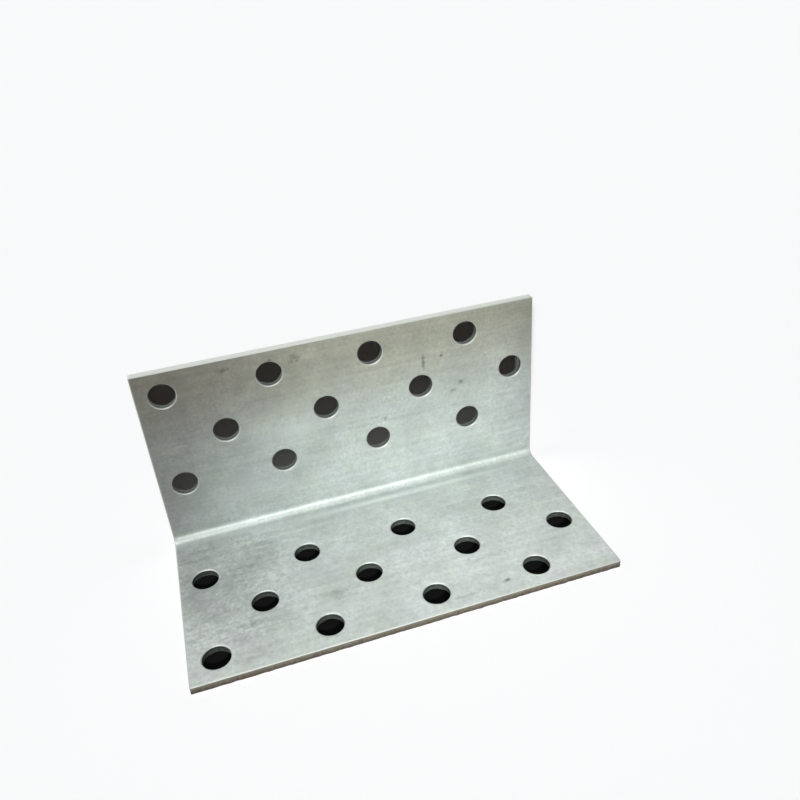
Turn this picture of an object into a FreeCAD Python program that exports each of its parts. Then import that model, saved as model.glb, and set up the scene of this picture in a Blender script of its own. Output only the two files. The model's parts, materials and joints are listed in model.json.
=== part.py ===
import FreeCAD, Part
import math
import os

Vector = FreeCAD.Vector

# Perforated angle bracket: one strip of zinc-coated sheet steel, punched while flat and folded once
# to a right angle. Sizes are in millimetres. X runs along the fold, the lying leaf reaches forward
# to -Y, the standing leaf rises at the back, and the middle of the underside is the origin.

# Sheet and leaves
bracket_width = 80.0        # along the fold
lying_leaf = 40.0           # depth, over the outside of the fold
standing_leaf = 40.0        # height, over the outside of the fold
sheet = 1.5                 # thickness of the steel
inner_bend_radius = 1.5

# Punched holes, on a staggered grid that is the same on both leaves
hole_diameter = 5.0
column_pitch = 10.0         # along the fold; a row uses every second column
row_pitch = 10.0            # from the free edge towards the fold
edge_margin = 5.0           # free edge to the centres of the outer row
end_margin = 5.0            # least distance from an end to a hole's centre
fold_land = 2.0             # least flat land between a hole's mouth and the fold

# Marks that punch and shear leave
mouth_roll = 0.3            # rounded mouth on the inner face, where the punch went in
breakout_depth = 0.45       # length of the torn stretch below the smooth wall
breakout_growth = 0.12      # how much wider, on the radius, the hole is where the slug tore out
edge_roll = 0.2             # rounded inner corner of the sheared edges

# Places that follow from the sizes
half_width = bracket_width / 2
front = -lying_leaf / 2
back = lying_leaf / 2
hole_radius = hole_diameter / 2
outer_bend_radius = inner_bend_radius + sheet
count_slack = 1e-6          # keeps a last row or column that only just fits


def on_fold_circle(radius, angle):
    """Point of the section on a circle about the fold's axis, at an angle from straight down."""
    axis_y = back - outer_bend_radius
    axis_z = outer_bend_radius
    return Vector(-half_width, axis_y + radius * math.sin(angle), axis_z - radius * math.cos(angle))


def fold_arc(radius):
    """Quarter arc of the section, from the lying leaf to the standing one."""
    points = [on_fold_circle(radius, step * math.pi / 4) for step in range(3)]
    return Part.Arc(*points).toShape()


def line(start, end):
    """Straight edge between two points of the section."""
    return Part.LineSegment(start, end).toShape()


def folded_strip():
    """The strip after folding, without holes: its section pushed along the fold."""
    underside = Vector(-half_width, front, 0)
    front_corner = Vector(-half_width, front, sheet)
    outer_top = Vector(-half_width, back, standing_leaf)
    inner_top = Vector(-half_width, back - sheet, standing_leaf)
    section = [
        line(underside, on_fold_circle(outer_bend_radius, 0)),
        fold_arc(outer_bend_radius),
        line(on_fold_circle(outer_bend_radius, math.pi / 2), outer_top),
        line(outer_top, inner_top),
        line(inner_top, on_fold_circle(inner_bend_radius, math.pi / 2)),
        fold_arc(inner_bend_radius),
        line(on_fold_circle(inner_bend_radius, 0), front_corner),
        line(front_corner, underside),
    ]
    face = Part.Face(Part.Wire(Part.__sortEdges__(section)))
    return face.extrude(Vector(bracket_width, 0, 0))


def punch():
    """What one stroke takes out: a rolled mouth, a smooth wall, then a torn one that widens to Z = 0."""
    overrun = sheet
    # The roll is two equal cones, so that wall, cones and face turn into each other in even steps
    steep = math.radians(60)
    shallow = math.radians(30)
    flat = mouth_roll / (math.cos(steep) + math.cos(shallow))
    top = sheet + overrun * math.tan(shallow)
    torn_radius = hole_radius + breakout_growth * (breakout_depth + overrun) / breakout_depth
    outline = [
        Vector(0, 0, -overrun),
        Vector(torn_radius, 0, -overrun),
        Vector(hole_radius, 0, breakout_depth),
        Vector(hole_radius, 0, sheet - mouth_roll),
        Vector(hole_radius + flat * math.cos(steep), 0, sheet - flat * math.sin(shallow)),
        Vector(hole_radius + mouth_roll, 0, sheet),
        Vector(hole_radius + mouth_roll + overrun, 0, top),
        Vector(0, 0, top),
        Vector(0, 0, -overrun),
    ]
    return Part.Face(Part.makePolygon(outline)).revolve(Vector(), Vector(0, 0, 1), 360)


def hole_grid(leaf):
    """Centres of one leaf's holes, as pairs of X and the distance from the free edge."""
    columns = 1 + math.floor((bracket_width - 2 * end_margin) / column_pitch + count_slack)
    flat_end = leaf - outer_bend_radius - fold_land - mouth_roll - hole_radius
    rows = 1 + math.floor((flat_end - edge_margin) / row_pitch + count_slack)
    first_x = -(columns - 1) * column_pitch / 2
    return [
        (first_x + column * column_pitch, edge_margin + row * row_pitch)
        for row in range(rows)
        for column in range(columns)
        if (column + row) % 2 == 0
    ]


def punched_places():
    """Centre of each hole on the outer face, with the turn that points the punch's +Z inwards."""
    upright = FreeCAD.Rotation()
    towards_front = FreeCAD.Rotation(Vector(1, 0, 0), 90)
    lying = [(Vector(x, front + reach, 0), upright) for x, reach in hole_grid(lying_leaf)]
    standing = [
        (Vector(x, back, standing_leaf - reach), towards_front) for x, reach in hole_grid(standing_leaf)
    ]
    return lying + standing


def punch_holes(strip):
    """Cut every hole in one go."""
    tools = []
    for centre, turn in punched_places():
        tool = punch()
        tool.Placement = FreeCAD.Placement(centre, turn)
        tools.append(tool)
    return strip.cut(tools)


def edge_near(body, point):
    """Edge whose middle lies nearest to a point."""
    return min(body.Edges, key=lambda edge: (edge.CenterOfMass - point).Length)


def roll_rim(strip):
    """Round the inner corner of the sheared outline: the free edges, and the ends right round the fold."""
    middles = [Vector(0, front, sheet), Vector(0, back - sheet, standing_leaf)]
    fold_start = on_fold_circle(inner_bend_radius, 0)
    for end in (-half_width, half_width):
        middles.append(Vector(end, (front + fold_start.y) / 2, sheet))
    return strip.makeFillet(edge_roll, [edge_near(strip, middle) for middle in middles])


bracket = punch_holes(roll_rim(folded_strip()))
print("solids", len(bracket.Solids), "valid", bracket.isValid(), "volume", round(bracket.Volume, 2))
print("holes", len(punched_places()), "box", bracket.BoundBox)

os.makedirs("parts", exist_ok=True)
bracket.Solids[0].exportStep("parts/angle_bracket.step")
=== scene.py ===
# %% [markdown]
# A punched and folded angle bracket
#
# The real part is one strip of zinc-coated steel sheet. A press punches a staggered grid of holes
# while the strip is flat, a shear cuts it to length, and a brake folds it once to a right angle.
# This lesson makes it in the same spirit: one punched square of sheet, repeated into a leaf, a fold
# turned about its own axis, and a mirror for the second leaf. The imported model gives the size.

# %% Load the frame
import json
import math

import bmesh
import bpy
from mathutils import Matrix, Vector, noise


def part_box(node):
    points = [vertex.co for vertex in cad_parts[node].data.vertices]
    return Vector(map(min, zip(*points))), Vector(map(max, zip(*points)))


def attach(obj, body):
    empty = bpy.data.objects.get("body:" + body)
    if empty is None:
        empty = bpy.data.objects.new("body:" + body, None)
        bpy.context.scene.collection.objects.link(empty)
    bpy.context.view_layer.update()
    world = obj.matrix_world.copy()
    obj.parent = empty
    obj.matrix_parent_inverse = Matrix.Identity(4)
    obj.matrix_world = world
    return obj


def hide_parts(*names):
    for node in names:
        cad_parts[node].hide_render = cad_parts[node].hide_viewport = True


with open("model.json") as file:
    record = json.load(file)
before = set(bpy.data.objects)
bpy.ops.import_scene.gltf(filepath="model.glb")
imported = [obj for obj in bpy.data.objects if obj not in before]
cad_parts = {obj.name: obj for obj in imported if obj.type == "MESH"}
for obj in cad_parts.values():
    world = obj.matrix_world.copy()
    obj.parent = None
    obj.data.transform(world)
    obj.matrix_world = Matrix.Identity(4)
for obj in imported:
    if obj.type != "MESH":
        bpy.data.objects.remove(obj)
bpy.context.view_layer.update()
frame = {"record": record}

MM = 0.001
low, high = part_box("angle_bracket")
print("box in mm:", [round(side / MM, 2) for side in high - low])

# %% [markdown]
# The camera
#
# The camera comes first, because it decides what shows. It stands in front of the bracket, to the
# left of its middle, and looks down into the angle. Aiming at a point of the standing leaf and
# turning about the line of sight says this in three plain values, where a matrix would say nothing.

# %% Place the camera
CAMERA_PLACE = Vector((-25.4, -111.8, 103.6)) * MM
CAMERA_AIM = Vector((10.3, 18.5, 22.9)) * MM     # where the line of sight meets the standing leaf
CAMERA_ROLL = math.radians(-4.78)                # about the line of sight
CAMERA_LENS = 34.4                               # focal length in mm, on a sensor 36 mm wide
CAMERA_NEAR = 10 * MM


def add_object(name, data):
    """Put new data into the scene as an object that sits at the origin."""
    made = bpy.data.objects.new(name, data)
    bpy.context.scene.collection.objects.link(made)
    return made


camera = add_object("camera", bpy.data.cameras.new("camera"))
camera.data.lens = CAMERA_LENS
camera.data.clip_start = CAMERA_NEAR
line_of_sight = CAMERA_AIM - CAMERA_PLACE
turn = line_of_sight.to_track_quat("-Z", "Y").to_matrix() @ Matrix.Rotation(CAMERA_ROLL, 3, "Z")
camera.matrix_world = Matrix.Translation(CAMERA_PLACE) @ turn.to_4x4()
bpy.context.scene.camera = camera
print("camera to leaf:", round(line_of_sight.length / MM), "mm")

# %% [markdown]
# Sizes of the sheet
#
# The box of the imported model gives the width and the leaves, and its record gives the radius of the
# holes. What is left are the sheet's thickness, the fold, the pitch of the holes and the small marks
# that the punch leaves.

# %% Read and name the sizes
SHEET = 1.5 * MM
FOLD_RADIUS = 1.5 * MM            # on the inside
MOUTH_ROLL = 0.3 * MM             # rounded mouth of a hole, where the punch went in
TORN_DEPTH = 0.45 * MM            # last stretch of a hole's wall, where the slug tore out
TORN_GROWTH = 0.12 * MM           # how much wider the hole is where that stretch ends
HOLE_PITCH = 10 * MM

holes = frame["record"]["mounts"][0]["dims"]
HOLE_RADIUS = holes["hole_r_mm"] * MM
HALF_TILE = HOLE_PITCH / 2
columns = round((high.x - low.x) / HOLE_PITCH)
fold_axis = Vector((0, high.y - FOLD_RADIUS - SHEET, low.z + FOLD_RADIUS + SHEET))
rows = int((fold_axis.y - low.y) / HOLE_PITCH)
print("grid of", columns, "by", rows, "squares on a leaf, holes", 2 * HOLE_RADIUS / MM, "mm")

# %% [markdown]
# A section that is spun
#
# Round a hole, the sheet has the same section in every direction. A boolean cut would leave long thin
# triangles around every hole, so the section is drawn once as a chain of edges and spun about the
# hole's axis. The outermost ring is then pushed out to a square, so that squares fit side by side.

# %% Write the helpers for squares
ROUND_STEPS = 64                  # a multiple of 8, so that four steps fall on the square's corners
WELD = 0.002 * MM                 # points that lie closer than this are one


def add_chain(shape, points):
    """Add an open chain of edges through a few points, given as radius and height."""
    corners = [shape.verts.new((radius, 0, height)) for radius, height in points]
    for start, end in zip(corners, corners[1:]):
        shape.edges.new((start, end))
    return corners


def spin_to_square(shape):
    """Turn the chains of a shape once about Z, and push the outermost ring out to the square."""
    bmesh.ops.spin(
        shape, geom=shape.verts[:] + shape.edges[:], axis=(0, 0, 1), angle=math.tau,
        steps=ROUND_STEPS, use_merge=True,
    )
    bmesh.ops.remove_doubles(shape, verts=shape.verts, dist=WELD)
    for vert in shape.verts:
        if vert.co.xy.length > HALF_TILE - WELD:
            vert.co.xy *= HALF_TILE / max(abs(vert.co.x), abs(vert.co.y))
    mesh = bpy.data.meshes.new("square of sheet")
    shape.to_mesh(mesh)
    shape.free()
    return mesh


print("one step round a hole:", round(math.tau * HOLE_RADIUS / ROUND_STEPS / MM, 2), "mm")

# %% [markdown]
# A punched square and a plain one
#
# A punched hole has three stretches: the inner face rolls over into a smooth wall, and near the outer
# face the wall tears and widens. Bevelling the chain's point at the mouth makes the roll, and cuts in
# the edges beside the tear leave points for the roughness that comes later. Between two holes lies a
# square without one, which is only the sheet's two faces.

# %% Make the squares
ROLL_STEPS = 5
WALL_CUTS = 3
PLAIN_RINGS = (1, 0.7, 0.35, 0)   # rings of a plain square, as shares of its half width


def punched_square():
    """A square with a hole: inner face, rolled mouth, smooth wall, torn wall, outer face."""
    land = HOLE_RADIUS + 2 * MOUTH_ROLL
    middle = (land + HALF_TILE) / 2
    torn_radius = HOLE_RADIUS + TORN_GROWTH
    inner_face = [(HALF_TILE, SHEET), (middle, SHEET), (land, SHEET)]
    wall = [(HOLE_RADIUS, SHEET), (HOLE_RADIUS, TORN_DEPTH), (torn_radius, 0)]
    outer_face = [(land, 0), (middle, 0), (HALF_TILE, 0)]
    shape = bmesh.new()
    mouth, tear = add_chain(shape, inner_face + wall + outer_face)[3:5]
    bmesh.ops.bevel(
        shape, geom=[mouth], offset=MOUTH_ROLL, affect="VERTICES", segments=ROLL_STEPS,
        profile=0.5, material=-1,
    )
    bmesh.ops.subdivide_edges(shape, edges=tear.link_edges[:], cuts=WALL_CUTS)
    return spin_to_square(shape)


def plain_square():
    """A square without a hole: only its two faces."""
    shape = bmesh.new()
    for height in (0, SHEET):
        add_chain(shape, [(HALF_TILE * share, height) for share in PLAIN_RINGS])
    return spin_to_square(shape)


punched = punched_square()
plain = plain_square()
print("punched square:", len(punched.polygons), "faces, plain square:", len(plain.polygons))

# %% [markdown]
# The leaf's grid of squares
#
# The squares are laid out as on a chessboard, from the free edge towards the fold, and welded. Laying
# copies of one good square is quicker than making each hole, and every hole gets the same even rings.

# %% Lay out the squares
bracket = bmesh.new()
for row in range(rows):
    for column in range(columns):
        known = len(bracket.verts)
        bracket.from_mesh(punched if (column + row) % 2 == 0 else plain)
        bracket.verts.ensure_lookup_table()
        place = Vector((low.x + (column + 0.5) * HOLE_PITCH, low.y + (row + 0.5) * HOLE_PITCH, low.z))
        bmesh.ops.translate(bracket, verts=bracket.verts[known:], vec=place)
bmesh.ops.remove_doubles(bracket, verts=bracket.verts, dist=WELD)
print("leaf:", len(bracket.faces), "faces")

# %% [markdown]
# The strip by the fold, and half of the fold
#
# The strip between the last row and the fold has no holes, so it is the leaf's back edge, extruded.
# Spinning that edge about the fold's axis bends both faces of the sheet in one go, with the exact
# radius inside and outside. Only half of the quarter turn is made here: the plane that halves the
# fold is a mirror plane of the bracket.

# %% Extrude the strip and turn half of the fold
STRIP_STEPS = 8
HALF_FOLD = math.radians(45)
HALF_FOLD_STEPS = 8


def edges_across(y):
    """Open edges of the leaf that lie at one distance from the free edge."""
    return [
        edge for edge in bracket.edges
        if edge.is_boundary and all(abs(vert.co.y - y) < WELD for vert in edge.verts)
    ]


last_row = low.y + rows * HOLE_PITCH
rim_edges = edges_across(last_row)
for step in range(STRIP_STEPS):
    grown = bmesh.ops.extrude_edge_only(bracket, edges=rim_edges)["geom"]
    moved = [item for item in grown if isinstance(item, bmesh.types.BMVert)]
    bmesh.ops.translate(bracket, verts=moved, vec=(0, (fold_axis.y - last_row) / STRIP_STEPS, 0))
    rim_edges = [item for item in grown if isinstance(item, bmesh.types.BMEdge) and item.is_boundary]
    rim_edges = [edge for edge in rim_edges if all(vert in moved for vert in edge.verts)]
rim_verts = list(dict.fromkeys(vert for edge in rim_edges for vert in edge.verts))
bmesh.ops.spin(
    bracket, geom=rim_verts + rim_edges, cent=fold_axis, axis=(1, 0, 0), angle=HALF_FOLD,
    steps=HALF_FOLD_STEPS,
)
print("leaf with half of the fold:", len(bracket.faces), "faces")

# %% [markdown]
# The second leaf and the sheared rim
#
# Mirroring across the plane that halves the fold gives the standing leaf and the rest of the fold,
# and welds the seam. The mirror operator knows only the main axes, so the mesh is turned into that
# plane's own frame and back. The sheet still has two faces and no rim: bridging the two open outlines
# closes it, as the shear did when it cut the strip.

# %% Mirror the leaf and close the rim
mirror_place = Matrix.Translation(fold_axis) @ Matrix.Rotation(HALF_FOLD, 4, "X")
bmesh.ops.transform(bracket, matrix=mirror_place.inverted(), verts=bracket.verts)
bmesh.ops.mirror(
    bracket, geom=bracket.verts[:] + bracket.edges[:] + bracket.faces[:],
    matrix=Matrix.Identity(4), merge_dist=WELD, axis="Y",
)
bmesh.ops.transform(bracket, matrix=mirror_place, verts=bracket.verts)
open_edges = [edge for edge in bracket.edges if edge.is_boundary]
rim = bmesh.ops.bridge_loops(bracket, edges=open_edges)
bmesh.ops.recalc_face_normals(bracket, faces=bracket.faces)
still_open = sum(edge.is_boundary for edge in bracket.edges)
print("rim:", len(rim["faces"]), "faces, edges still open:", still_open)

# %% [markdown]
# Soft corners
#
# The strip's four corners lose their sharpness in handling, so they are bevelled through the whole
# thickness. To find them, a helper tells how deep a point lies below the inner face. It works all over
# the sheet: in the fold it measures from the fold's axis, and on a leaf from a plane through that axis.

# %% Soften the corners of the strip
CORNER_ROUND = 0.35 * MM
CORNER_STEPS = 4


def into_sheet(point):
    """Distance of a point below the inner face, and the direction that leads there."""
    across = Vector((0, max(point.y - fold_axis.y, 0), min(point.z - fold_axis.z, 0)))
    return across.length - FOLD_RADIUS, across.normalized()


def depth_span(edge):
    """How far an edge reaches across the sheet's thickness."""
    start, end = (into_sheet(vert.co)[0] for vert in edge.verts)
    return abs(start - end)


def is_on_corner(edge):
    """True for the edges across the sheet's thickness at the strip's four corners."""
    spots = [vert.co for vert in edge.verts]
    at_end = all(abs(abs(spot.x) - high.x) < WELD for spot in spots)
    at_free_edge = all(spot.y < low.y + WELD or spot.z > high.z - WELD for spot in spots)
    return at_end and at_free_edge and depth_span(edge) > SHEET / 2


corner_edges = [edge for edge in bracket.edges if is_on_corner(edge)]
bmesh.ops.bevel(
    bracket, geom=corner_edges, offset=CORNER_ROUND, affect="EDGES", segments=CORNER_STEPS,
    profile=0.5, material=-1,
)
print("corners:", len(corner_edges))

# %% [markdown]
# The rolled rim
#
# A shear rolls over the corner of the face that it enters, so the inner outline is bevelled all the
# way round. The rim is then cut across its height, which leaves points for its rough zone.

# %% Roll the rim
EDGE_ROLL = 0.2 * MM
EDGE_STEPS = 3
RIM_CUTS = 6
SHARP_TURN = math.radians(60)     # faces that turn by more than this meet at a corner of the sheet
RIM_SPAN = 0.8 * SHEET            # an edge that reaches further across the sheet lies on the rim


def is_on_inner_outline(edge):
    """True where the inner face meets the rim: both ends lie on that face, and the corner is sharp."""
    on_face = all(abs(into_sheet(vert.co)[0]) < WELD for vert in edge.verts)
    return on_face and edge.calc_face_angle() > SHARP_TURN


outline = [edge for edge in bracket.edges if is_on_inner_outline(edge)]
bmesh.ops.bevel(
    bracket, geom=outline, offset=EDGE_ROLL, affect="EDGES", segments=EDGE_STEPS,
    profile=0.5, material=-1,
)
across_rim = [edge for edge in bracket.edges if depth_span(edge) > RIM_SPAN]
bmesh.ops.subdivide_edges(bracket, edges=across_rim, cuts=RIM_CUTS, use_grid_fill=True)
print("outline edges:", len(outline), "edges across the rim:", len(across_rim))

# %% [markdown]
# Faces and their finishes
#
# A cut through sheet has three zones. The blade first rolls the corner over and polishes it, then
# shaves a smooth band, and the rest breaks away and leaves a rough one. Each face gets the material
# slot of its finish, from its slope and place. The depth below the inner face is kept in an attribute,
# so that the material of a cut can tell its zones apart.

# %% Sort the faces by finish
ZINC, ROLLED, TOP_EDGE_PAINTED_HIGHLIGHT, SHEARED, PUNCHED = range(5)      # material slots
COAT_SLOPE = 0.97                 # a face that is this square to the sheet's thickness keeps its coat
RIM_REACH = 0.5 * MM

depth_mark = bracket.verts.layers.float.new("cut_depth")
bracket.normal_update()
for vert in bracket.verts:
    vert[depth_mark] = into_sheet(vert.co)[0] / SHEET


def finish_of(face):
    """Material slot of a face, from its slope, its depth and whether it lies on the outline."""
    centre = face.calc_center_median()
    slope = abs(face.normal.dot(into_sheet(centre)[1]))
    depth = min(vert[depth_mark] for vert in face.verts) * SHEET
    if slope > COAT_SLOPE:
        return ZINC
    if depth < EDGE_ROLL - WELD:
        return ROLLED
    # the free top edge gets a painted highlight, pale for the light from above
    if centre.z > high.z - RIM_REACH:
        return TOP_EDGE_PAINTED_HIGHLIGHT
    on_rim = abs(centre.x) > high.x - RIM_REACH or centre.y < low.y + RIM_REACH
    return SHEARED if on_rim else PUNCHED


for face in bracket.faces:
    face.smooth = True
    face.material_index = finish_of(face)
print("faces by finish:", [sum(face.material_index == slot for face in bracket.faces) for slot in range(5)])

# %% [markdown]
# The broken zone
#
# The rough zone gets small uneven steps in the mesh itself, because the edge of the sheet shows them
# in its outline. Each point moves along the normal of its cut only, so that the sheet's faces stay
# flat, and the noise grows with the depth, from nothing where the shaved band ends.

# %% Roughen the broken zone
BREAK_START = 0.4                 # share of the thickness at which the rough zone starts
BREAK_SIZE = 1.1 * MM             # length of an uneven step
BREAK_HEIGHT = 0.12 * MM

offsets = {}
for vert in bracket.verts:
    cut_normals = [face.normal for face in vert.link_faces if face.material_index in (SHEARED, PUNCHED)]
    share = (vert[depth_mark] - BREAK_START) / (1 - BREAK_START)
    if cut_normals and share > 0:
        inwards = into_sheet(vert.co)[1]
        outwards = sum(cut_normals, Vector())
        outwards = (outwards - inwards * outwards.dot(inwards)).normalized()
        offsets[vert] = outwards * noise.noise(vert.co / BREAK_SIZE) * BREAK_HEIGHT * min(share, 1)
for vert, offset in offsets.items():
    vert.co += offset
print("roughened points:", len(offsets))

# %% [markdown]
# The finished sheet
#
# Edges that turn sharply stay sharp in the shading. Elsewhere, weighted normals let the large flat
# faces decide, so that the narrow rolls beside them don't make a leaf look bent. The piece rides on
# the part's only body and stands for its solid.

# %% Make the bracket an object
CREASE = math.radians(40)         # edges that turn by more than this are shaded as sharp

for edge in bracket.edges:
    edge.smooth = edge.calc_face_angle(0) < CREASE
bracket_mesh = bpy.data.meshes.new("angle_bracket_sheet")
bracket.to_mesh(bracket_mesh)
bracket.free()
bracket_piece = add_object("angle_bracket_sheet", bracket_mesh)
even_normals = bracket_piece.modifiers.new("even normals on flat faces", "WEIGHTED_NORMAL")
even_normals.keep_sharp = True
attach(bracket_piece, "root")
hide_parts("angle_bracket")
print("bracket:", sum(len(face.vertices) - 2 for face in bracket_mesh.polygons), "triangles")

# %% [markdown]
# Helpers for materials
#
# Each finish is a tree of shader nodes. Its colours are written as sRGB hex values, as a picture
# editor shows them, and one function turns them into the linear values that shaders work with.
# Another adds a node and hands back its output, so that a tree can be read from top to bottom.

# %% Write the helpers for materials


def linear(code):
    """Linear colour with alpha from an sRGB hex value."""
    parts = [int(code[i:i + 2], 16) / 255 for i in (1, 3, 5)]
    return [part / 12.92 if part < 0.04045 else ((part + 0.055) / 1.055) ** 2.4 for part in parts] + [1]


def add_node(tree, kind, inputs, out=0, **settings):
    """Add a node and hand back one output: inputs are values or outputs to link, settings its fields."""
    node = tree.nodes.new(kind)
    for field, value in settings.items():
        setattr(node, field, value)
    for name, value in inputs.items():
        if isinstance(value, bpy.types.NodeSocket):
            tree.links.new(value, node.inputs[name])
        else:
            node.inputs[name].default_value = value
    return node.outputs[out] if node.outputs else None


def new_material(name):
    """An empty node material, and its tree."""
    material = bpy.data.materials.new(name)
    material.use_nodes = True
    material.node_tree.nodes.clear()
    return material, material.node_tree


print("a middle grey, #808080, is linear", round(linear("#808080")[0], 3))

# %% [markdown]
# Zinc coat: an uneven grey
#
# Galvanised sheet is steel with a thin coat of zinc from a hot bath, flattened by rollers. The eye
# gets a satin grey that is never even: clouds a centimetre wide, a mottle of crystals, a fine grain
# that the rollers left open in some places and closed in others, and faint streaks along the way of
# rolling. Noise that swings about zero stands for each, at its real size, and the sum shades the coat.

# %% Mottle the zinc
CLOUD_SIZE = 9 * MM
MOTTLE_SIZE = 1.6 * MM
GRAIN_SIZE = 0.6 * MM                            # coarser than on the real sheet, or it wouldn't show
STREAK_SIZE = Vector((45, 0.9, 0.9)) * MM        # along the fold, and across
GREY_DETAIL = 2.0
CLOUD_SHARE, MOTTLE_SHARE, STREAK_SHARE = 0.16, 0.09, 0.09
CLOUD_SWING = 0.4                                # clouds beyond this count as darkest and palest
CLOSED_GRAIN, OPEN_GRAIN = 0.09, 0.17            # shares of the grain in those two


def uneven_grey(tree, place):
    """How much paler or darker than its mean the coat is at a place."""
    stretched = add_node(
        tree, "ShaderNodeMapping", {"Vector": place, "Scale": STREAK_SIZE}, vector_type="TEXTURE"
    )
    layers = []
    for spots, size in ((place, CLOUD_SIZE), (place, MOTTLE_SIZE), (stretched, 1), (place, GRAIN_SIZE)):
        layers.append(add_node(
            tree, "ShaderNodeTexNoise", {"Vector": spots, "Scale": 1 / size, "Detail": GREY_DETAIL},
            normalize=False,
        ))
    grain = layers.pop()
    grain_share = add_node(
        tree, "ShaderNodeMapRange",
        {"Value": layers[0], "From Min": -CLOUD_SWING, "From Max": CLOUD_SWING,
         "To Min": CLOSED_GRAIN, "To Max": OPEN_GRAIN},
    )
    tone = add_node(tree, "ShaderNodeMath", {0: grain, 1: grain_share}, operation="MULTIPLY")
    for layer, share in zip(layers, (CLOUD_SHARE, MOTTLE_SHARE, STREAK_SHARE)):
        tone = add_node(tree, "ShaderNodeMath", {0: layer, 1: share, 2: tone}, operation="MULTIPLY_ADD")
    return tone


print("clouds, mottle and grain in mm:", [size / MM for size in (CLOUD_SIZE, MOTTLE_SIZE, GRAIN_SIZE)])

# %% [markdown]
# Zinc coat: marks and painted light
#
# A bracket that was packed, carried and wiped has scuffs, smudges and paler streaks. Among the marks are
# also a painted shade over the left end of the lying leaf, a painted highlight at the left end of the fold,
# and two paler bands along the fold on the lying leaf. Each is an ellipse on a leaf: a Mapping node turns
# it into a ball of radius 1, the distance from its middle fades the mark out, and the uneven grey added to
# that distance frays its edge.

# %% Place the marks
MARK_CORE = 0.2                   # share of a mark's radius inside which it doesn't fade
MARK_FRAY = 2.0
# Place and size in mm, and how dark; below zero is paler than the coat. First the standing leaf
MARKS_AND_PAINTED_LIGHT = [
    ((15.8, 18.5, 30.3), (0.5, 1, 2.1), 0.5),
    ((19.7, 18.5, 31.2), (0.6, 1, 0.5), 0.6),
    ((23.8, 18.5, 24.1), (0.7, 1, 0.6), 0.45),
    ((22.0, 18.5, 22.4), (0.9, 1, 0.7), 0.35),
    ((6.8, 18.5, 19.4), (0.8, 1, 0.7), 0.4),
    ((-23.4, 18.5, 37.7), (1.9, 1, 0.9), 0.4),
    ((-14.6, 18.5, 37.8), (0.5, 1, 0.5), 0.55),
    ((-9.6, 18.5, 37.4), (1.9, 1, 1.2), 0.45),
    ((-34.4, 18.5, 23.6), (1.9, 1, 0.25), -0.35),
    ((-11.4, 18.5, 21.3), (5.0, 1, 2.2), -0.1),
    ((-14.0, 18.5, 23.5), (9.0, 1, 4.5), -0.14),
    ((-28.0, 18.5, 10.5), (9.0, 1, 4.0), -0.14),
    # then the lying leaf
    ((18.2, -16.7, 1.5), (0.8, 0.6, 1), 0.65),
    ((-12.4, -8.5, 1.5), (2.6, 1.4, 1), 0.2),
    ((-28.5, -9.5, 1.5), (2.4, 1.6, 1), 0.22),
    # a painted shade over the left end of the lying leaf
    ((-34.0, 2.0, 1.5), (16.0, 18.0, 1), 0.24),
    # paler bands along the fold
    ((-20.0, 12.2, 1.5), (17.0, 0.7, 1), -0.12),
    ((9.0, 15.3, 1.5), (28.0, 1.0, 1), -0.32),
    ((10.0, -17.6, 1.5), (6.0, 0.5, 1), 0.2),
    # and a painted highlight at the left end of the fold
    ((-35.0, 17.0, 2.0), (15.0, 1.5, 1.5), -0.4),
]


def grey_with_marks_and_painted_light(tree, place, tone):
    """The coat's grey about its mean of 1, with every mark, painted highlight and painted shade multiplied
    in.
    """
    value = add_node(tree, "ShaderNodeMath", {0: tone, 1: 1.0}, operation="ADD")
    for centre, size, darkness in MARKS_AND_PAINTED_LIGHT:
        ball = add_node(
            tree, "ShaderNodeMapping",
            {"Vector": place, "Location": Vector(centre) * MM, "Scale": Vector(size) * MM},
            vector_type="TEXTURE",
        )
        reach = add_node(tree, "ShaderNodeVectorMath", {0: ball}, out="Value", operation="LENGTH")
        frayed = add_node(
            tree, "ShaderNodeMath", {0: tone, 1: MARK_FRAY, 2: reach}, operation="MULTIPLY_ADD"
        )
        mark = add_node(
            tree, "ShaderNodeMapRange",
            {"Value": frayed, "From Min": MARK_CORE, "From Max": 1.0,
             "To Min": 1 - darkness, "To Max": 1.0},
        )
        value = add_node(tree, "ShaderNodeMath", {0: value, 1: mark}, operation="MULTIPLY")
    return value


print("marks on the zinc:", len(MARKS_AND_PAINTED_LIGHT))

# %% [markdown]
# Zinc coat: tint and painted shade
#
# Zinc is a slightly green grey here and a bluish one there. Over the tint lies painted shade, which deepens
# slowly towards the upper edge, where it is warm, towards the left end and towards the back of the lying
# leaf. Painted shade takes away light, so its colour is what it leaves, multiplied over the tint.

# %% Tint the zinc and paint shade over it
TINT_SIZE = 5 * MM
TINT_DETAIL = 3.0
TINT_FROM, TINT_TO = 0.35, 0.65   # noise at which the tint is all greenish, and all bluish
GREENISH, BLUISH = "#C2CAC3", "#C1C7C6"
# Painted shade: the way it deepens, where it starts and is full in mm along that way, and what it leaves
PAINTED_SHADES = [
    ((0, 0, 1), 18, 38, "#EDE5D6"),
    ((-1, 0.4, 0.6), 32, 58, "#D9D5D7"),
    ((0, 1, 0), -18, 8, "#ECEEEE"),
]


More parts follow.
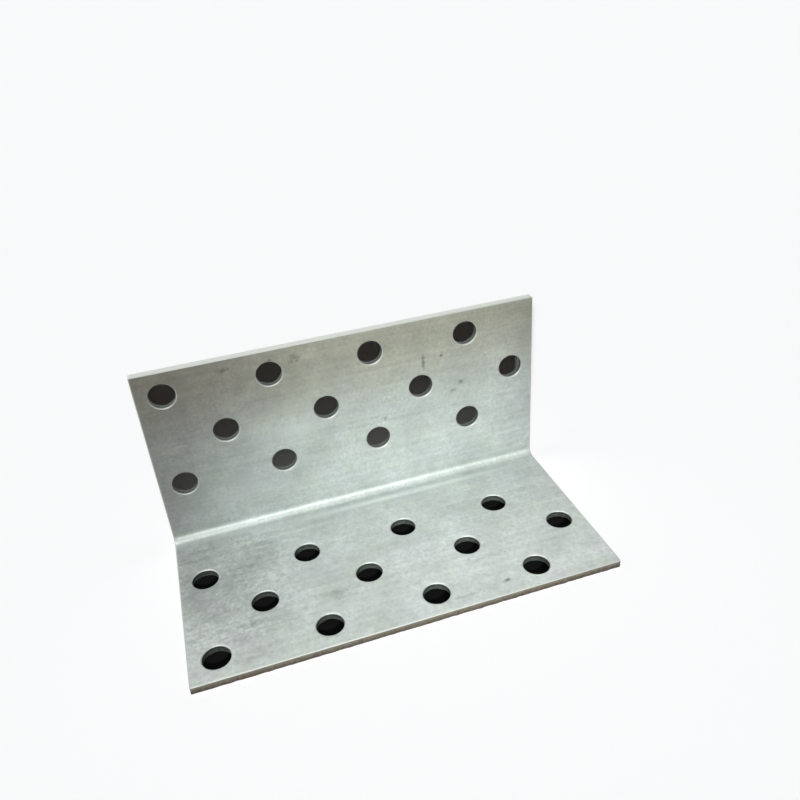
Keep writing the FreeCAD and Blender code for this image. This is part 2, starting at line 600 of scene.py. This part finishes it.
def tint_under_painted_shade(tree, place):
    """Tint of the coat under its painted shade."""
    patches = add_node(
        tree, "ShaderNodeTexNoise", {"Vector": place, "Scale": 1 / TINT_SIZE, "Detail": TINT_DETAIL}
    )
    patches = add_node(
        tree, "ShaderNodeMapRange", {"Value": patches, "From Min": TINT_FROM, "From Max": TINT_TO}
    )
    tint = add_node(
        tree, "ShaderNodeMix", {"Factor": patches, "A": linear(GREENISH), "B": linear(BLUISH)},
        out="Result", data_type="RGBA",
    )
    for way, start, full, left in PAINTED_SHADES:
        along = add_node(
            tree, "ShaderNodeVectorMath", {0: place, 1: way}, out="Value", operation="DOT_PRODUCT"
        )
        painted_shade = add_node(
            tree, "ShaderNodeMapRange", {"Value": along, "From Min": start * MM, "From Max": full * MM},
            interpolation_type="SMOOTHSTEP",
        )
        tint = add_node(
            tree, "ShaderNodeMix", {"Factor": painted_shade, "A": tint, "B": linear(left)},
            out="Result", data_type="RGBA", blend_type="MULTIPLY",
        )
    return tint


print("painted_shades on the zinc:", len(PAINTED_SHADES))

# %% [markdown]
# Zinc coat: the polished fold
#
# The blade of the brake slides over the inside of the fold and polishes it, which shows as a bright
# line. A Mapping node shrinks the length of the fold to nothing, so that only the distance from its
# axis counts, and that distance says how polished a place is.

# %% Polish the fold
POLISH_FULL = FOLD_RADIUS         # distance from the fold's axis at which the polish is full
POLISH_END = FOLD_RADIUS + 0.5 * MM
FOLD_SHRINK = 1e6                 # how much shorter the fold becomes


def fold_polish(tree, place):
    """1 on the inside of the fold, falling to 0 a little way out on the leaves."""
    squeezed = add_node(
        tree, "ShaderNodeMapping", {"Vector": place, "Location": fold_axis, "Scale": (FOLD_SHRINK, 1, 1)},
        vector_type="TEXTURE",
    )
    distance = add_node(tree, "ShaderNodeVectorMath", {0: squeezed}, out="Value", operation="LENGTH")
    return add_node(
        tree, "ShaderNodeMapRange", {"Value": distance, "From Min": POLISH_END, "From Max": POLISH_FULL},
        interpolation_type="SMOOTHSTEP",
    )


polish_reach = math.sqrt(POLISH_END ** 2 - POLISH_FULL ** 2)
print("the polish fades out on a leaf over", round(polish_reach / MM, 2), "mm")

# %% [markdown]
# Zinc coat: all of it on one shader
#
# Beside the fold, a skin of zinc oxide scatters the light, so the coat counts as metal only in small
# part: a pure metal would mirror the pale surroundings and lose its shading. Paler grain is smoother
# than dark grain, and the grain itself is a slight relief.

# %% Mix the zinc coat
DARK_GREY, PALE_GREY = 0.55, 1.45      # greys with the dull and with the bright roughness
DULL_ROUGH, BRIGHT_ROUGH, POLISHED_ROUGH = 0.52, 0.36, 0.46
COAT_METAL, POLISHED_METAL = 0.12, 0.4
GRAIN_HEIGHT = 0.05 * MM
COAT_RELIEF = 0.2                      # strength of the bump


def zinc_coat():
    """The whole coat: grey, marks with painted highlight and shade, tint under painted shade, and polish on
    one shader.
    """
    material, tree = new_material("galvanised zinc coat")
    place = add_node(tree, "ShaderNodeTexCoord", {}, out="Object")
    tone = uneven_grey(tree, place)
    value = grey_with_marks_and_painted_light(tree, place, tone)
    polish = fold_polish(tree, place)
    colour = add_node(tree, "ShaderNodeHueSaturation", {"Color": tint_under_painted_shade(tree, place), "Value": value})
    rough = add_node(
        tree, "ShaderNodeMapRange",
        {"Value": value, "From Min": DARK_GREY, "From Max": PALE_GREY,
         "To Min": DULL_ROUGH, "To Max": BRIGHT_ROUGH},
    )
    rough = add_node(tree, "ShaderNodeMix", {"Factor": polish, "A": rough, "B": POLISHED_ROUGH})
    metal = add_node(
        tree, "ShaderNodeMapRange", {"Value": polish, "To Min": COAT_METAL, "To Max": POLISHED_METAL}
    )
    relief = add_node(
        tree, "ShaderNodeBump", {"Height": tone, "Strength": COAT_RELIEF, "Distance": GRAIN_HEIGHT}
    )
    surface = add_node(
        tree, "ShaderNodeBsdfPrincipled",
        {"Base Color": colour, "Roughness": rough, "Metallic": metal, "Normal": relief},
    )
    add_node(tree, "ShaderNodeOutputMaterial", {"Surface": surface})
    return material


bracket_mesh.materials.append(zinc_coat())
print("nodes of the zinc coat:", len(bracket_mesh.materials[ZINC].node_tree.nodes))

# %% [markdown]
# Rolled zinc, and cut edges with painted highlight, reflection and shade
#
# Where punch and shear went in, they dragged the zinc over the corner and polished it: a thin pale line
# round every hole and along the outline. The free edge of the standing leaf is painted pale, a painted
# highlight for the light that falls on it from above. The other cuts show bare steel, dull in the broken
# zone. The sheared edge is painted brown, a painted reflection of warm surroundings, and browner where it
# broke. The walls of the holes are greyer and painted dark, as painted shade inside the holes, darkest in
# the burnished band at the mouth and paler in the torn one below. All four are one recipe with other
# colours: the depth of the cut, frayed by a grain, parts its two zones.

# %% Mix the cut finishes
BREAK_GRAIN = 0.6 * MM
BREAK_DETAIL, BREAK_HARSHNESS = 4.0, 0.7          # of the grain's noise
BREAK_FRAY = 1.4
BREAK_FROM, BREAK_TO = 0.9, 1.5                   # frayed depths between which the broken zone sets in
CUT_METAL = 0.3
CUT_RELIEF = 0.3                                  # strength of the bump
# Name, colours of the smooth and the broken zone, and their roughness, in the order of the slots
CUT_FINISHES = [
    ("rolled zinc", "#B6BBB6", "#BABFB9", 0.45, 0.48),
    # painted highlight: the top edge, pale because light falls on it from above
    ("top edge with painted highlight", "#D2D6D0", "#D8DBD5", 0.5, 0.55),
    # painted reflection: the brown stands for warm surroundings mirrored in the cut
    ("sheared steel with painted reflection", "#807A6D", "#544C42", 0.45, 0.7),
    # partly bare steel's own grey, partly painted shade inside the holes
    ("punched steel with painted shade", "#3A403C", "#5E6560", 0.5, 0.7),
]


def cut_finish(name, smooth_colour, broken_colour, smooth_rough, broken_rough):
    """A cut through the sheet, with a smooth zone and a broken one."""
    material, tree = new_material(name)
    place = add_node(tree, "ShaderNodeTexCoord", {}, out="Object")
    depth = add_node(tree, "ShaderNodeAttribute", {}, out="Fac", attribute_name="cut_depth")
    grain = add_node(
        tree, "ShaderNodeTexNoise",
        {"Vector": place, "Scale": 1 / BREAK_GRAIN, "Detail": BREAK_DETAIL, "Roughness": BREAK_HARSHNESS},
    )
    frayed = add_node(
        tree, "ShaderNodeMath", {0: grain, 1: BREAK_FRAY, 2: depth}, operation="MULTIPLY_ADD"
    )
    broken = add_node(
        tree, "ShaderNodeMapRange", {"Value": frayed, "From Min": BREAK_FROM, "From Max": BREAK_TO}
    )
    colour = add_node(
        tree, "ShaderNodeMix", {"Factor": broken, "A": linear(smooth_colour), "B": linear(broken_colour)},
        out="Result", data_type="RGBA",
    )
    rough = add_node(
        tree, "ShaderNodeMapRange", {"Value": broken, "To Min": smooth_rough, "To Max": broken_rough}
    )
    relief = add_node(
        tree, "ShaderNodeBump", {"Height": grain, "Strength": CUT_RELIEF, "Distance": GRAIN_HEIGHT}
    )
    surface = add_node(
        tree, "ShaderNodeBsdfPrincipled",
        {"Base Color": colour, "Roughness": rough, "Metallic": CUT_METAL, "Normal": relief},
    )
    add_node(tree, "ShaderNodeOutputMaterial", {"Surface": surface})
    return material


for finish in CUT_FINISHES:
    bracket_mesh.materials.append(cut_finish(*finish))
print("finishes:", [material.name for material in bracket_mesh.materials])

# %% [markdown]
# Floor
#
# A plain pale floor, far larger than any view. The part of it that the lying leaf covers is painted dark, a
# painted shade, so that the holes there read as dark wells. It is one grid face with an inset one, and the
# inset one is pulled to the size of the leaf.

# %% Lay the floor
FLOOR_HALF = 6.0                  # in metres
COVER_MARGIN = 1 * MM             # how far the dark part stays inside the leaf's outline
# slot of the floor painted dark under the lying leaf, a painted shade
PAINTED_SHADE_SLOT = 1                          # material slot; the pale one is 0

floor_shape = bmesh.new()
bmesh.ops.create_grid(floor_shape, x_segments=1, y_segments=1, size=FLOOR_HALF)
covered = floor_shape.faces[:]
bmesh.ops.inset_region(floor_shape, faces=covered, thickness=FLOOR_HALF / 2, use_boundary=True)
for face in covered:
    face.material_index = PAINTED_SHADE_SLOT
    for vert in face.verts:
        vert.co.x = math.copysign(high.x - COVER_MARGIN, vert.co.x)
        vert.co.y = math.copysign(high.y - COVER_MARGIN, vert.co.y)
floor_mesh = bpy.data.meshes.new("floor")
floor_shape.to_mesh(floor_mesh)
floor_shape.free()
floor = add_object("floor", floor_mesh)
print("floor faces by slot:", [face.material_index for face in floor_mesh.polygons])

# %% [markdown]
# Floor paint
#
# The eye sees a nearly white floor, also as a reflection in the metal. The light that it throws back
# at the bracket is dimmer and warmer, as in a workshop, so that the standing leaf keeps its shading. A
# Light Path node tells the two kinds of ray apart.

# %% Paint the floor
FLOOR_ROUGH = 0.9
FLOOR_GLOSS = 0.1


def seen_directly(tree):
    """1 for what the eye sees, straight on or as a reflection, and 0 for light thrown onto things."""
    rays = add_node(tree, "ShaderNodeLightPath", {}).node.outputs
    seen = rays["Is Camera Ray"]
    for kind in ("Is Glossy Ray", "Is Transmission Ray"):
        seen = add_node(tree, "ShaderNodeMath", {0: seen, 1: rays[kind]}, operation="MAXIMUM")
    return seen


def floor_paint(name, eye_colour, bounce_colour=None):
    """Matt paint, which may throw back light of another colour than the one that the eye sees."""
    material, tree = new_material(name)
    colour = linear(eye_colour)
    if bounce_colour:
        colour = add_node(
            tree, "ShaderNodeMix",
            {"Factor": seen_directly(tree), "A": linear(bounce_colour), "B": colour},
            out="Result", data_type="RGBA",
        )
    surface = add_node(
        tree, "ShaderNodeBsdfPrincipled",
        {"Base Color": colour, "Roughness": FLOOR_ROUGH, "Specular IOR Level": FLOOR_GLOSS},
    )
    add_node(tree, "ShaderNodeOutputMaterial", {"Surface": surface})
    return material


floor_mesh.materials.append(floor_paint("pale matt floor", "#F7F8F9", bounce_colour="#4A4136"))
# painted shade: near black under the lying leaf, where its holes look down
floor_mesh.materials.append(floor_paint("painted shade under the lying leaf", "#040504"))
print("floor paints:", [material.name for material in floor_mesh.materials])

# %% [markdown]
# Wide lamps
#
# Far, wide lamps give soft light that doesn't fall off over the bracket. One hangs overhead, a little
# to the left, and one stands in for a window in front. The third lights the back, which other views
# see: it stands for what a pale floor throws back, so it shines from low behind and the floor isn't in
# its way. Each is linked to the bracket, so that the floor can have a lamp and a shadow of its own.

# %% Hang the wide lamps
# Name, the way the light travels, strength, and width in degrees
WIDE_LAMPS = [
    ("overhead lamp", (0.4, 0.08, -1.0), 2.2, 50),
    ("window lamp", (-0.18, 0.85, -0.5), 0.45, 50),
    ("back lamp", (0, -0.95, 0.3), 0.85, 60),
]


def only_for(name, thing):
    """A collection that a lamp can be limited to."""
    group = bpy.data.collections.new(name)
    group.objects.link(thing)
    return group


def add_lamp(name, kind, lit, towards, strength):
    """A lamp for one thing: towards is the way its light travels."""
    lamp = add_object(name, bpy.data.lights.new(name, kind))
    lamp.data.energy = strength
    lamp.rotation_euler = Vector(towards).to_track_quat("-Z", "Y").to_euler()
    lamp.light_linking.receiver_collection = lit
    return lamp


lit_bracket = only_for("lit bracket", bracket_piece)
for name, towards, strength, width in WIDE_LAMPS:
    lamp = add_lamp(name, "SUN", lit_bracket, towards, strength)
    lamp.data.angle = math.radians(width)
    lamp.light_linking.blocker_collection = lit_bracket
print("wide lamps:", len(WIDE_LAMPS))

# %% [markdown]
# Spot lamp
#
# A spot lamp from the front, aimed at the foot of the standing leaf, makes that the brightest part and
# lets the upper left corner stay dim. Its pool of light is as soft as its blend allows, so no edge
# shows.

# %% Aim the spot lamp
SPOT_AIM = Vector((14, 18.5, 2)) * MM
SPOT_TOWARDS = Vector((0.2, 0.95, -0.35)).normalized()
SPOT_DISTANCE = 500 * MM
SPOT_POOL = 50 * MM               # radius of the pool of light
SPOT_SIZE = 40 * MM               # radius of the lamp itself
SPOT_STRENGTH = 13.9
SPOT_COLOUR = "#FBFFFC"

spot = add_lamp("spot lamp", "SPOT", lit_bracket, SPOT_TOWARDS, SPOT_STRENGTH)
spot.location = SPOT_AIM - SPOT_TOWARDS * SPOT_DISTANCE
spot.data.color = linear(SPOT_COLOUR)[:3]
spot.data.spot_size = 2 * math.atan(SPOT_POOL / SPOT_DISTANCE)
spot.data.spot_blend = 1
spot.data.shadow_soft_size = SPOT_SIZE
print("spot lamp at, in mm:", [round(side / MM) for side in spot.location])

# %% [markdown]
# Floor lamp and flag
#
# The floor's lamp shines from the front, so that the shadow falls behind the standing leaf and its
# holes look into shade. The leaf's shadow alone is full of light spots from those holes. A flag, the
# card that a photographer hangs before a lamp, shades the strip behind the leaf and fills them in. It
# is one grid face of any size. Each corner goes to where its shade should fall, and from there back
# along the light.

# %% Light the floor and hang the flag
FLOOR_LIGHT = Vector((-0.05, 1.0, -0.5))      # the way the light travels
FLOOR_LAMP_STRENGTH = 7.0
FLOOR_LAMP_WIDTH = math.radians(0.8)
# Shade on the floor in mm: left end, right end and place of its front side, then of its back side
FLAG_FRONT = (-38.5, 38.5, 21)
FLAG_BACK = (-47.1, 77.3, 96)
FLAG_DISTANCE = 0.27              # from the floor, in steps of FLOOR_LIGHT

lit_floor = only_for("lit floor", floor)
floor_lamp = add_lamp("floor lamp", "SUN", lit_floor, FLOOR_LIGHT, FLOOR_LAMP_STRENGTH)
floor_lamp.data.angle = FLOOR_LAMP_WIDTH
flag_shape = bmesh.new()
bmesh.ops.create_grid(flag_shape, x_segments=1, y_segments=1, size=1)
for vert in flag_shape.verts:
    left, right, back = FLAG_BACK if vert.co.y > 0 else FLAG_FRONT
    vert.co = Vector((right if vert.co.x > 0 else left, back, 0)) * MM - FLOOR_LIGHT * FLAG_DISTANCE
flag_mesh = bpy.data.meshes.new("flag")
flag_shape.to_mesh(flag_mesh)
flag_shape.free()
flag = add_object("flag", flag_mesh)
flag.visible_camera = flag.visible_diffuse = flag.visible_glossy = False
print("flag above the floor:", round(-FLOOR_LIGHT.z * FLAG_DISTANCE / MM), "mm")

# %% [markdown]
# Surroundings
#
# What the camera sees past the floor is white, and so is what the metal mirrors. The light that the
# surroundings give is dim and warm, as in a workshop, which keeps the insides of the holes dark.

# %% Fill the surroundings
FILL_COLOUR = "#1E1A16"
SEEN_COLOUR = "#FFFFFF"

world = bpy.data.worlds.new("studio")
bpy.context.scene.world = world
world.use_nodes = True
sky = world.node_tree
sky.nodes.clear()
around = add_node(
    sky, "ShaderNodeMix",
    {"Factor": seen_directly(sky), "A": linear(FILL_COLOUR), "B": linear(SEEN_COLOUR)},
    out="Result", data_type="RGBA",
)
background = add_node(sky, "ShaderNodeBackground", {"Color": around})
add_node(sky, "ShaderNodeOutputWorld", {"Surface": background})
bpy.context.scene.view_settings.view_transform = "Standard"
print("nodes of the surroundings:", len(sky.nodes))
